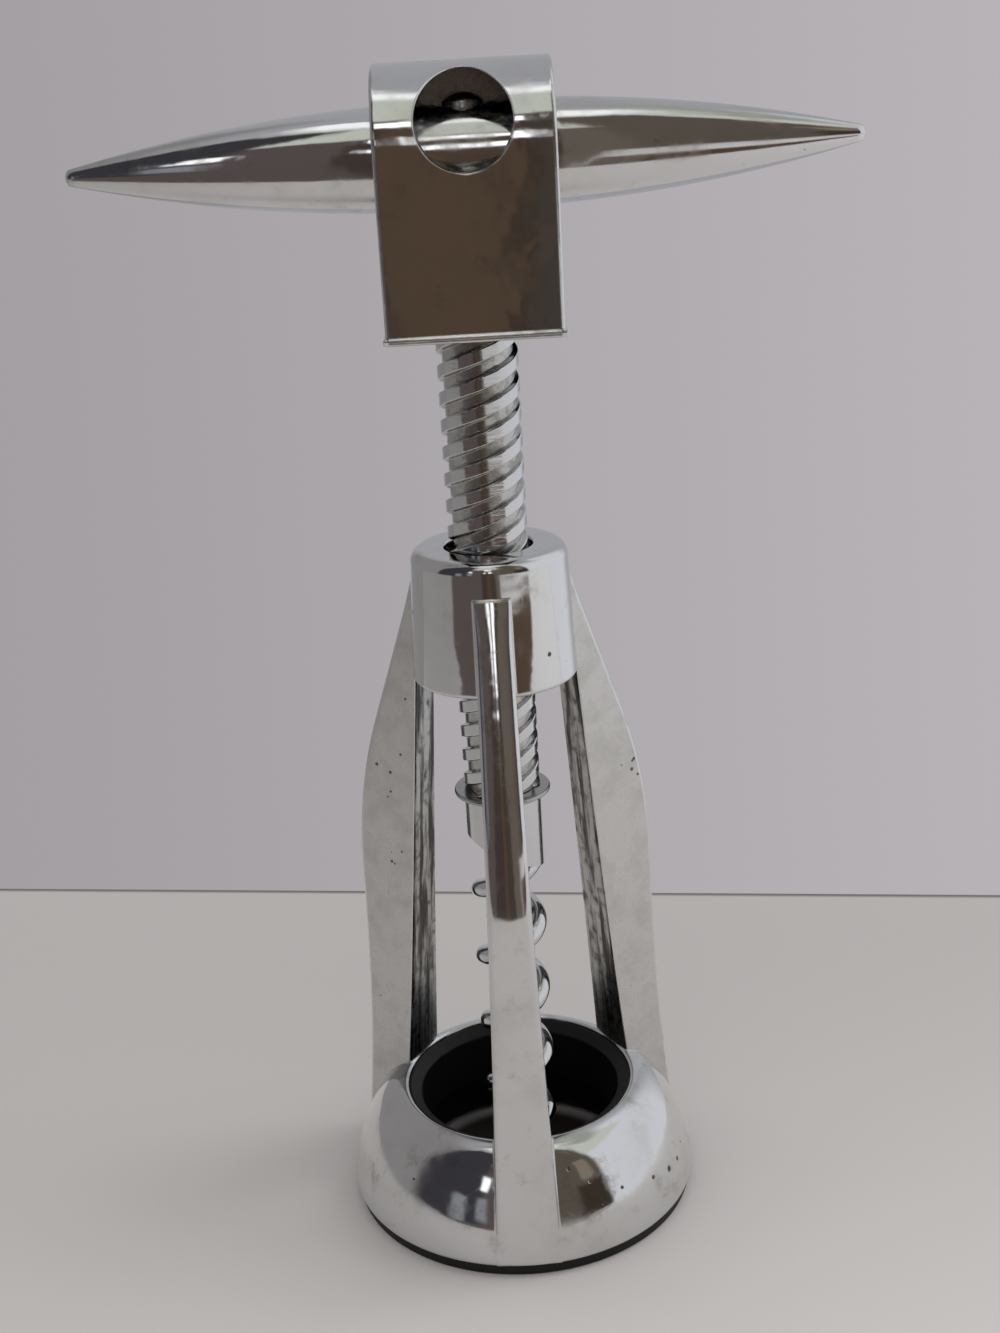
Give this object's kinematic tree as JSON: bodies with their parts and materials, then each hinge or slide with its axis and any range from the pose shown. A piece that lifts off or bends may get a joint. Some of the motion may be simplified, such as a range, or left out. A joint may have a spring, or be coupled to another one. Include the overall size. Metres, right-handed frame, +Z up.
{
  "type": "corkscrew",
  "caption": "Free-standing bell cage corkscrew with a spindle-shaped handle bar, multi-start lead screw in a collar nut and wire worm under it.",
  "frame": {"origin": "on the table, under the axis of the screw, at the underside of the foot ring", "axes": "+Z up along the screw axis, X along the handle bar, the middle one of the three ribs faces -Y"},
  "size_m": [0.0936, 0.0482, 0.1503],
  "materials": {
    "cage_chrome": "polished chrome on die-cast metal, worn",
    "screw_chrome": "bright plated steel, thread lands worn",
    "worm_steel": "bright plated wire",
    "spring_steel": "bare steel",
    "nut_brass": "turned, inside the collar",
    "black_plastic": "black moulded plastic"
  },
  "bodies": {
    "cage": {"cage": "cage_chrome", "foot_ring": "black_plastic", "bottle_guide": "black_plastic", "thread_nut": "nut_brass", "nut_ring": "spring_steel"},
    "stop": {"stop_washer": "spring_steel"},
    "screw": {"lead_screw": "screw_chrome", "worm": "worm_steel", "head_block": "cage_chrome", "handle_bar": "cage_chrome", "cap_nut": "spring_steel"}
  },
  "joints": [
    {"name": "screw_travel", "type": "slide", "parent": "cage", "child": "stop", "axis": [0, 0, 1], "range_m": [-0.0266, 0.0156]},
    {"name": "screw_turn", "type": "hinge", "parent": "stop", "child": "screw", "pos_m": [0, 0, 0.0593], "axis": [0, 0, 1], "range_deg": [-960, 564]}
  ],
  "couplings": [
    {"joint": "screw_turn", "follows": "screw_travel", "rad_per_m": 628.32}
  ]
}
